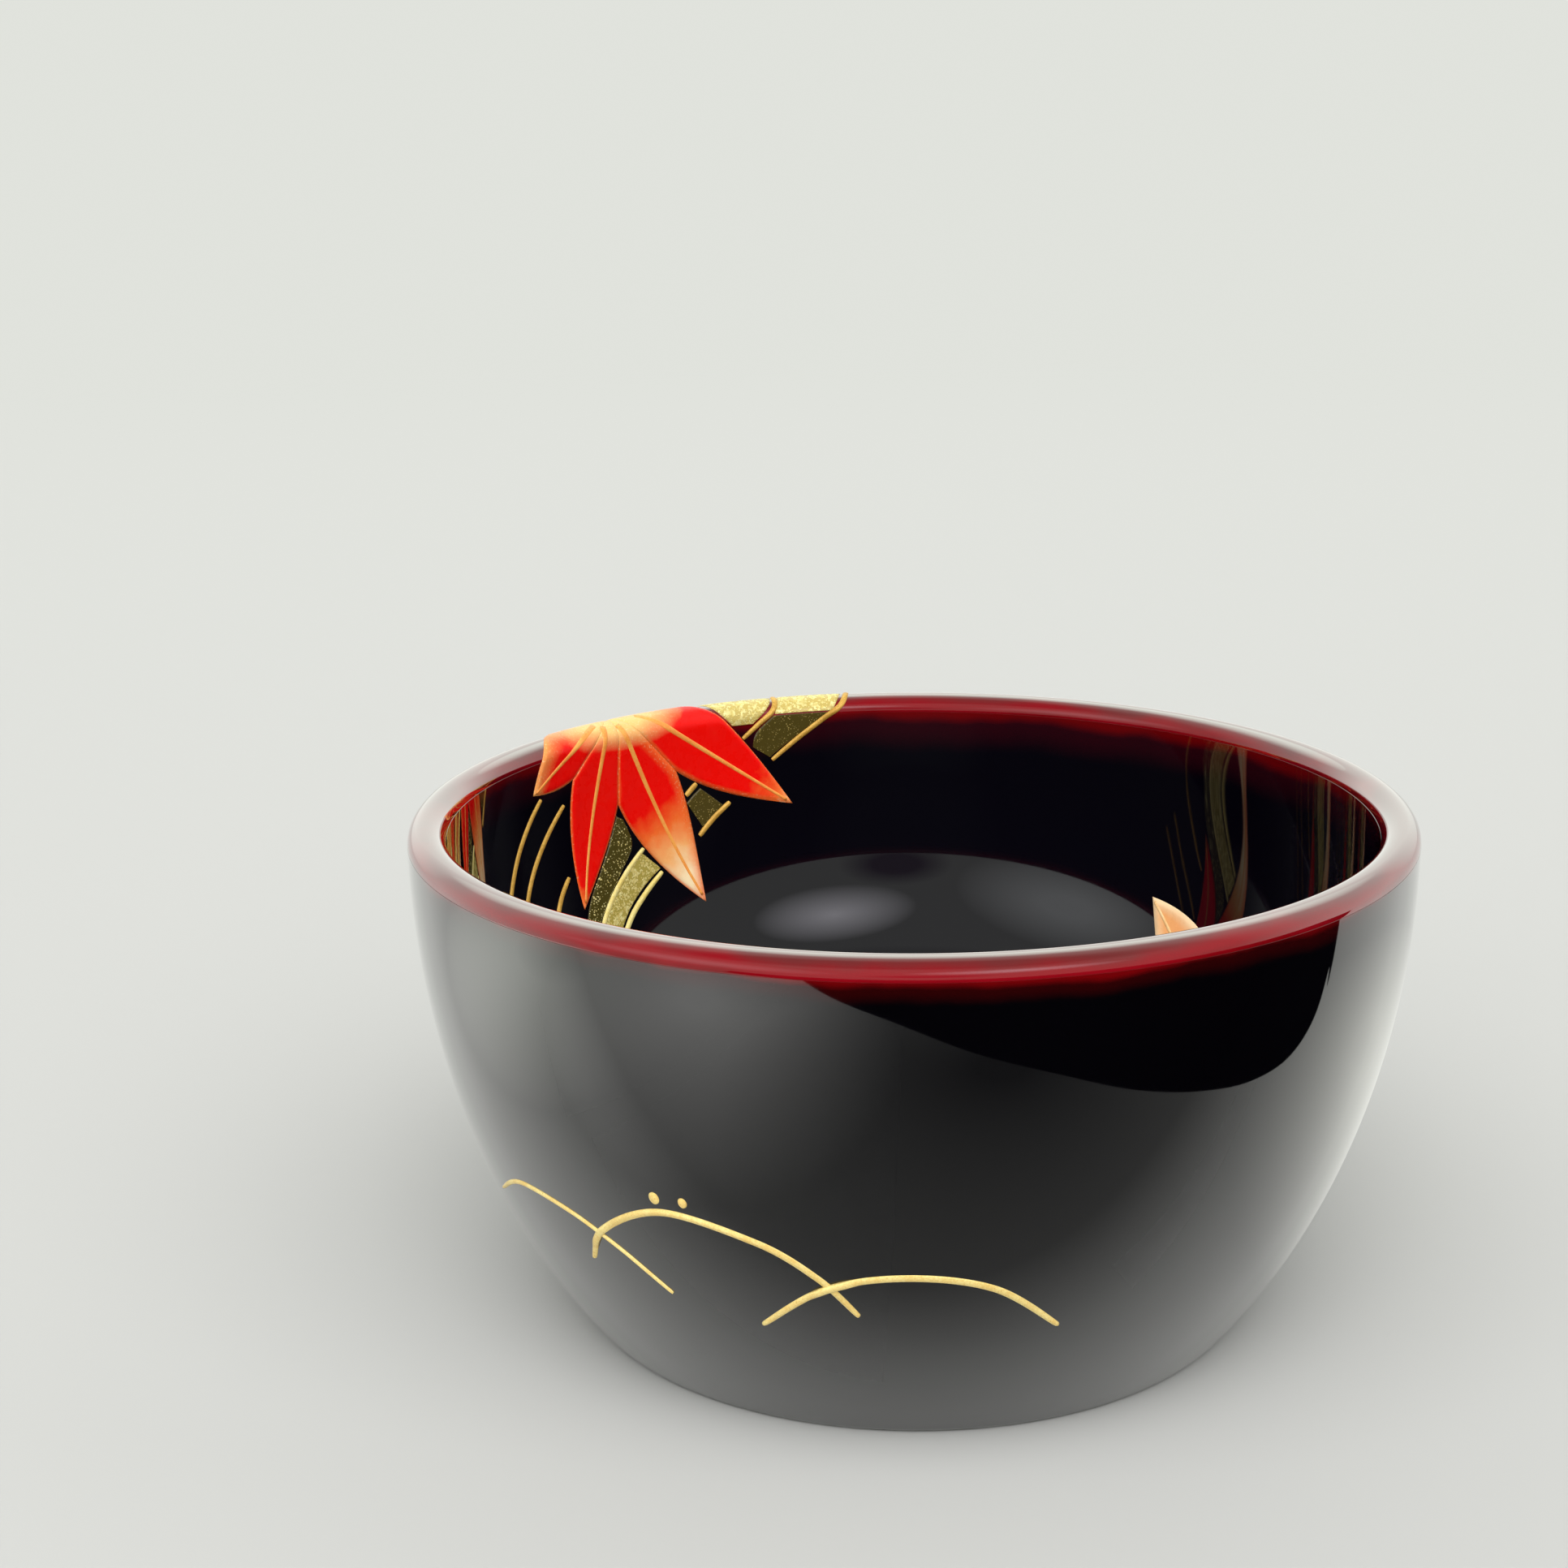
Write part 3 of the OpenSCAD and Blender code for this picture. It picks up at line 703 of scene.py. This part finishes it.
def make_coats():
    rim = LIP_Z
    outside = lacquer("dark_lacquer_outside",
                      [(0, BLACK), (0.81, BLACK), (0.93, THIN_OUTSIDE), (1, RED_DEEP)], rim - 8, rim + 0.2)
    inside = lacquer("dark_lacquer_inside",
                     [(0, WINE), (0.45, NAVY), (0.9, NAVY), (0.97, THIN_INSIDE), (1, RED_DEEP)], 0, rim)
    red = lacquer("red_lacquer", [(0, RED_DEEP), (0.5, RED_DEEP), (0.75, RED_LIP), (1, CREST)],
                  rim - 2, rim + LIP_R, slant_from=0.22, slant_to=0.6)
    foot = lacquer("dark_lacquer_foot", [(0, BLACK), (1, WINE)], 0, 2, rough=0.09)
    red_t = RED_T + DARK_T

    def dark(i):
        return DARK[i]

    def bare(i):
        return 0.0

    def red_back(i):
        return red_t

    first, last = 0, MARK["last"]
    coats = [
        ("outer_lacquer", bare, dark, MARK["dark_out"], MARK["foot"], outside, "dark_coat_outside"),
        ("inner_lacquer", bare, dark, first, MARK["dark_in"], inside, "dark_coat_inside"),
        ("foot_lacquer", bare, red_back, MARK["foot"], last, foot, "dark_coat_foot"),
        ("red_lacquer_outside", dark, red_back, MARK["crest"], MARK["foot"], red, "red_coat_outside"),
        ("red_lacquer_inside", dark, red_back, first, MARK["crest"], red, "red_coat_inside"),
    ]
    for name, front, back, i0, i1, material, node in coats:
        finish_piece(name, revolve(name, section(front, back, i0, i1)), material, [node])


# ---- The painted work ----

def make_hills():
    bright = gold("gold_dust", (0.97, 0.78, 0.3), (0.88, 0.6, 0.17), metal=0.25)
    for key, (points, width, cross) in HILLS.items():
        path = spline(points, 24)
        mesh = stroke(f"hill_{key}", path, lambda u, w=width: w * brush(u, 0.5),
                      lambda u: LINE_T, hop_at=cross, hop=LINE_T)
        finish_piece(f"hill_{key}", mesh, bright, [f"hill_line_{key}"])
    for key, (place, radius) in DOTS.items():
        turns = [math.pi * i / 28 for i in range(29)]
        path = [(place[0], place[1] + radius * 1.2 * math.cos(a)) for a in turns]
        mesh = stroke(f"dot_{key}", path, lambda u, r=radius: 2 * r * max(math.sin(math.pi * u), 0.02),
                      lambda u: LINE_T * (0.2 + 0.8 * math.sin(math.pi * u)))
        finish_piece(f"dot_{key}", mesh, bright, [f"gold_dot_{key}"])


def make_big_lobes():
    plain = [(0, LEAF_RED), (0.86, LEAF_RED), (0.95, ORANGE), (1, PEACH)]
    stops = [
        plain,
        [(0, LEAF_RED), (0.9, LEAF_RED), (0.97, ORANGE), (1, PEACH)],
        [(0, LEAF_RED), (0.5, LEAF_RED), (0.63, ORANGE), (0.75, PEACH), (0.86, CREAM), (1, CREAM)],
        [(0, LEAF_RED), (0.84, LEAF_RED), (0.94, ORANGE), (1, PEACH)],
        plain, plain, plain,
    ]
    rims = [(2.4, 0.2), (0.2, 0.25), (0.25, 1.1), (0.5, 0.15), (0.3, 0.3), (0.3, 0.3), (0.3, 0.3)]
    for i in range(7):
        name = f"leaf_lobe_{i + 1}"
        material = leaf_paint(f"leaf_red_{i + 1}", stops[i], AMBER if i == 0 else ORANGE, (1.9, 3.7))
        mesh = lobe(name, BIG_HOME, BIG_NOTCHES[i - 1], BIG_TIPS[i], BIG_NOTCHES[i],
                    *BIG_BULGES[i], *rims[i])
        finish_piece(name, mesh, material, [f"big_leaf_lobe_{i + 1}"])


def make_low_lobes():
    peach = leaf_paint("leaf_peach", [(0, PEACH), (0.6, LOW_LEAF_MIDDLE), (1, PEACH)], CREAM, (1.2, 3))
    for i in range(5):
        name = f"low_lobe_{i + 1}"
        mesh = lobe(name, LOW_HOME, LOW_NOTCHES[i], LOW_TIPS[i], LOW_NOTCHES[i + 1],
                    *LOW_BULGES[i], 1.1, 1.1)
        finish_piece(name, mesh, peach, [f"low_leaf_lobe_{i + 1}"])


def make_veins_and_stems():
    vein_gold = gold("vein_gold", (0.98, 0.44, 0.09), (0.95, 0.3, 0.05), metal=0.0)
    pale_gold = gold("vein_pale_gold", (0.98, 0.7, 0.36), (0.95, 0.54, 0.2), metal=0.1)
    for i in range(7):
        node = ["big_leaf_veins"] if i == 0 else []
        make_vein(f"leaf_vein_{i + 1}", BIG_HOME, BIG_ROOTS[i], BIG_TIPS[i], vein_gold, node)
    for i in range(5):
        node = ["low_leaf_veins"] if i == 0 else []
        root = tuple(0.08 * c for c in LOW_TIPS[i])
        make_vein(f"low_vein_{i + 1}", LOW_HOME, root, LOW_TIPS[i], pale_gold, node)
    stems = {
        "leaf_stem": (BIG_HOME, BIG_STEM, "big_leaf_stem"),
        "low_stem": (LOW_HOME, LOW_STEM, "low_leaf_stem"),
    }
    for name, (home, points, node) in stems.items():
        path = spline([leaf_spot(home, q) for q in points], 16)
        mesh = stroke(name, path, lambda u: LINE_W * brush(u, 0.5), lambda u: LINE_T)
        finish_piece(name, mesh, vein_gold, [node])


VEIN_END = 0.96  # how far out to the lobe's tip a vein goes
VEIN_TAPER = 0.55
VEIN_STEPS = 60
VEIN_T = 0.05


def make_vein(name, home, root, tip, material, nodes):
    root = np.array(root, float)
    tip = np.array(tip, float)
    shares = [VEIN_END * i / VEIN_STEPS for i in range(VEIN_STEPS + 1)]
    path = [leaf_spot(home, root + (tip - root) * share) for share in shares]
    mesh = stroke(name, path, lambda u: VEIN_W * (1 - VEIN_TAPER * u), lambda u: VEIN_T, base=LEAF_T - 0.01)
    finish_piece(name, mesh, material, nodes)


def make_stream():
    dull = gold("stream_gold", (0.78, 0.46, 0.09), (0.56, 0.3, 0.04), metal=0.25)
    pale = gold("stream_pale_gold", (0.97, 0.84, 0.34), (0.88, 0.68, 0.18), metal=0.2)
    for i, points in enumerate(STREAMS):
        name = f"stream_{i + 1}"
        paint = pale if i in (3, 4) else dull
        mesh = stroke(name, spline(points, 20), lambda u: 0.85 * LINE_W * brush(u, 0.6), lambda u: LINE_T)
        finish_piece(name, mesh, paint, [f"stream_line_{i + 1}"])


POWDER_SPREAD = 0.08  # how far a bed runs on at each side, under the lines there, as a share of its width
POWDER_ACROSS = 16


def make_powder():
    light = (0.99, 0.9, 0.42)
    dark = (0.68, 0.52, 0.12)
    dense = powder_paint("powder_dense", 0.85, light, dark, (0.42, 0.33, 0.07))
    # The lip's two beds are denser gold powder on a paler ground, and the paler ground is partly painted
    # highlight, for the light the lip catches
    gilt_and_painted_highlight = powder_paint("powder_gilt_and_painted_highlight", 1.0, light, dark, (0.6, 0.45, 0.12))
    sparse = powder_paint("powder_sparse", 0.5, light, dark, (0.07, 0.055, 0.01))
    faint = powder_paint("powder_faint", 0.4, (0.5, 0.38, 0.09), (0.3, 0.21, 0.04), (0.075, 0.055, 0.01))
    paints = {"low": dense, "lip": gilt_and_painted_highlight, "rim": gilt_and_painted_highlight, "middle": sparse, "high": faint, "gap": faint}
    for key, (edge_a, edge_b) in POWDERS.items():
        left = spline(edge_a, 16)
        right = spline(edge_b, 16)
        top, bottom = [], []
        for a, b in zip(left, right):
            us = [j / POWDER_ACROSS for j in range(POWDER_ACROSS + 1)]
            spots = [a + (b - a) * ((1 + 2 * POWDER_SPREAD) * u - POWDER_SPREAD) for u in us]
            lifts = [POWDER_T * (0.3 + 0.7 * math.sin(math.pi * u) ** 0.3) for u in us]
            top.append([paint_at(*q, h) for q, h in zip(spots, lifts)])
            bottom.append([paint_at(*q, -SINK) for q in spots])
        mesh = grid_piece(f"powder_{key}", top, bottom, {})
        finish_piece(f"powder_bed_{key}", mesh, paints[key], [f"powder_{key}"])


# ---- Camera, floor and light ----

CAMERA_PLACE = (0, -0.16591, 0.0794)
CAMERA_TURN = (75.077, 0.853, 2.633)  # degrees about x, y and z
LENS = 59.63


def make_camera():
    data = bpy.data.cameras.new("camera")
    data.sensor_width = 36
    data.lens = LENS
    data.clip_start = 0.01
    data.clip_end = 50
    camera = bpy.data.objects.new("camera", data)
    camera.location = CAMERA_PLACE
    camera.rotation_euler = [math.radians(a) for a in CAMERA_TURN]
    bpy.context.scene.collection.objects.link(camera)
    bpy.context.scene.camera = camera


def add_stage(name, points, faces, material):
    mesh = bpy.data.meshes.new(name)
    mesh.from_pydata(points, [], faces)
    mesh.materials.append(material)
    thing = bpy.data.objects.new(name, mesh)
    bpy.context.scene.collection.objects.link(thing)
    return thing


FLOOR_NEAR = 0.12  # metres from the bowl where the floor starts to fade into the sky's colour
FLOOR_FAR = 0.6
SKY = (0.75, 0.765, 0.72)
SKY_R = 3.5
FLOOR_R = 4.0
CARD_AWAY = 1.2  # metres from the bowl to the standing cards
WORLD_LIGHT = 0.7
SQUARE = [(-1, -1), (1, -1), (1, 1), (-1, 1)]


def floor_material():
    """Pale matt floor that fades into the sky's colour far away, so that no edge shows."""
    m, nodes, links, shader = new_material("floor")
    shader.inputs["Base Color"].default_value = (0.575, 0.575, 0.562, 1)
    shader.inputs["Roughness"].default_value = 0.9
    shader.inputs["Specular IOR Level"].default_value = 0.1
    where = nodes.new("ShaderNodeTexCoord")
    far = nodes.new("ShaderNodeVectorMath")
    far.operation = "LENGTH"
    links.new(where.outputs["Object"], far.inputs[0])
    fade = to_range(nodes, links, far.outputs["Value"], FLOOR_NEAR, FLOOR_FAR)
    glow = nodes.new("ShaderNodeEmission")
    glow.inputs["Color"].default_value = (*SKY, 1)
    both = nodes.new("ShaderNodeMixShader")
    links.new(fade, both.inputs["Fac"])
    links.new(shader.outputs["BSDF"], both.inputs[1])
    links.new(glow.outputs["Emission"], both.inputs[2])
    links.new(both.outputs["Shader"], nodes["Material Output"].inputs["Surface"])
    return m


def card_material(name, light, core, depth=1.0):
    """A card that gives even light out to core, then fades out to nothing at 1, in its own units."""
    m, nodes, links, shader = new_material(name)
    nodes.remove(shader)
    where = nodes.new("ShaderNodeTexCoord")
    far = nodes.new("ShaderNodeVectorMath")
    far.operation = "LENGTH"
    links.new(where.outputs["Object"], far.inputs[0])
    fade = to_range(nodes, links, far.outputs["Value"], core, 1.0, depth, 0.0)
    glow = nodes.new("ShaderNodeEmission")
    glow.inputs["Color"].default_value = (*light, 1)
    clear = nodes.new("ShaderNodeBsdfTransparent")
    both = nodes.new("ShaderNodeMixShader")
    links.new(fade, both.inputs["Fac"])
    links.new(clear.outputs["BSDF"], both.inputs[1])
    links.new(glow.outputs["Emission"], both.inputs[2])
    links.new(both.outputs["Shader"], nodes["Material Output"].inputs["Surface"])
    return m


def gloss_only(thing):
    for ray in ("camera", "diffuse", "shadow", "transmission", "volume_scatter"):
        setattr(thing, f"visible_{ray}", False)


def add_card(name, place, facing, size, material):
    """A round-edged card seen only in reflections. size is its half width and half height."""
    corners = [(x, y, 0) for x, y in SQUARE]
    card = add_stage(name, corners, [(0, 1, 2, 3)], material)
    gloss_only(card)
    card.location = place
    card.rotation_mode = "QUATERNION"
    card.rotation_quaternion = Vector(facing).to_track_quat("Z", "Y")
    card.scale = (size[0], size[1], 1)


def direction(azimuth, height):
    a, h = math.radians(azimuth), math.radians(height)
    return Vector((math.cos(a) * math.cos(h), math.sin(a) * math.cos(h), math.sin(h)))


# The dark shape's edge towards the bowl, in millimetres on the floor
FLAG_EDGE = [(-160, -215), (-90, -150), (-37, -115), (-5, -99), (16, -83), (32, -68), (43, -52), (51, -39),
             (58, -27), (66, -17), (78, -9), (96, -2), (115, 6), (400, 100)]


def make_flag():
    """A dark shape beside the bowl, seen only in reflections, as at the edge of a pale cloth."""
    curve = [(float(q[0]) * MM, float(q[1]) * MM) for q in spline(FLAG_EDGE, 8)]
    far = [(1.2, 0.1), (1.2, -1.2), (-0.9, -1.2)]
    paint, nodes, links, shader = new_material("flag")
    shader.inputs["Base Color"].default_value = (0.002, 0.002, 0.003, 1)
    shader.inputs["Roughness"].default_value = 1
    shader.inputs["Specular IOR Level"].default_value = 0
    points = [(x, y, 0.0004) for x, y in curve + far]
    gloss_only(add_stage("flag", points, [tuple(range(len(points)))], paint))


def add_sun(name, azimuth, height, strength, softness):
    light = bpy.data.lights.new(name, "SUN")
    light.energy = strength
    light.angle = math.radians(softness)
    lamp = bpy.data.objects.new(name, light)
    lamp.rotation_mode = "QUATERNION"
    lamp.rotation_quaternion = direction(azimuth, height).to_track_quat("Z", "Y")
    lamp.visible_glossy = False
    bpy.context.scene.collection.objects.link(lamp)


def make_sky():
    """A plain pale sky for the camera and the gloss; the world lights everything else more weakly."""
    rings = 23
    around = 48
    points = [(0, 0, SKY_R)]
    for i in range(1, rings + 1):
        height = 90 - 108 * i / rings
        points += [tuple(SKY_R * c for c in direction(360 * j / around, height)) for j in range(around)]
    faces = [(0, 1 + j, 1 + (j + 1) % around) for j in range(around)]
    for i in range(rings - 1):
        a = 1 + i * around
        b = a + around
        faces += [(a + j, b + j, b + (j + 1) % around, a + (j + 1) % around) for j in range(around)]
    paint, nodes, links, shader = new_material("sky")
    shader.inputs["Base Color"].default_value = (0, 0, 0, 1)
    shader.inputs["Specular IOR Level"].default_value = 0
    shader.inputs["Emission Color"].default_value = (*SKY, 1)
    shader.inputs["Emission Strength"].default_value = 1
    sky = add_stage("sky", points, faces, paint)
    for ray in ("diffuse", "shadow", "transmission", "volume_scatter"):
        setattr(sky, f"visible_{ray}", False)


# Cards that lie beside the bowl: place, half width and half depth in metres, light, and how far out
# from the middle the light stays even before it fades, as a share
FLAT_CARDS = {
    "shade": ((0.022, -0.076, 0.0006), (0.066, 0.05), (0.01, 0.012, 0.016), 0.1),
    "glow_left": ((-0.066, -0.082, 0.0003), (0.064, 0.06), (3.2, 3.2, 3.1), 0.1),
    "glow_far_left": ((-0.11, -0.035, 0.0002), (0.06, 0.075), (1.9, 1.95, 1.8), 0.3),
    "glow_right": ((0.06, 0.018, 0.0003), (0.04, 0.048), (1.0, 1.01, 0.94), 0.2),
}
SHADE_DEPTH = 0.8  # how much of the floor's reflection the shade covers

# Cards that stand round the bowl: azimuth and height in degrees, then as above
STANDING_CARDS = {
    "back_light": (92, 48, (1.0, 0.5), (1.9, 2.2, 2.0), 0.4),
    "front_dark": (-86, 16, (0.34, 0.15), (0.25, 0.2, 0.24), 0.4),
    "back_low": (92, 14, (1.4, 0.62), (1.2, 1.27, 1.18), 0.4),
    "lip_dark": (-92, 72, (1.1, 0.58), (0.14, 0.13, 0.14), 0.6),
    "cloud_left": (-66, 32, (0.5, 0.22), (4.5, 4.4, 4.7), 0.0),
    "cloud_right": (-138, 24, (0.75, 0.34), (1.9, 1.95, 1.95), 0.2),
}


def make_floor():
    corners = [(x * FLOOR_R, y * FLOOR_R, 0) for x, y in SQUARE]
    add_stage("floor", corners, [(0, 1, 2, 3)], floor_material())


def make_cards():
    for name, (place, size, light, core) in FLAT_CARDS.items():
        depth = SHADE_DEPTH if name == "shade" else 1.0
        add_card(name, place, (0, 0, 1), size, card_material(name, light, core, depth))
    for name, (azimuth, height, size, light, core) in STANDING_CARDS.items():
        away = direction(azimuth, height)
        add_card(name, away * CARD_AWAY, -away, size, card_material(name, light, core))


def make_light():
    world = bpy.data.worlds.new("studio")
    bpy.context.scene.world = world
    world.use_nodes = True
    background = world.node_tree.nodes["Background"]
    background.inputs["Color"].default_value = (*SKY, 1)
    background.inputs["Strength"].default_value = WORLD_LIGHT
    add_sun("key", -66, 48, 1.65, 60)
    add_sun("fill", -112, 48, 1.5, 60)


def dress_hidden_nodes():
    wood = wood_material()
    ground = ground_material()
    for name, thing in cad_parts.items():
        if name == "wood_core":
            paint = wood
        elif name.startswith("ground_"):
            paint = ground
        else:
            continue
        thing.data.materials.clear()
        thing.data.materials.append(paint)


bpy.context.scene.view_settings.view_transform = "Standard"
make_camera()
make_floor()
make_sky()
make_flag()
make_cards()
make_light()
dress_hidden_nodes()
make_coats()
make_hills()
make_big_lobes()
make_low_lobes()
make_veins_and_stems()
make_stream()
make_powder()
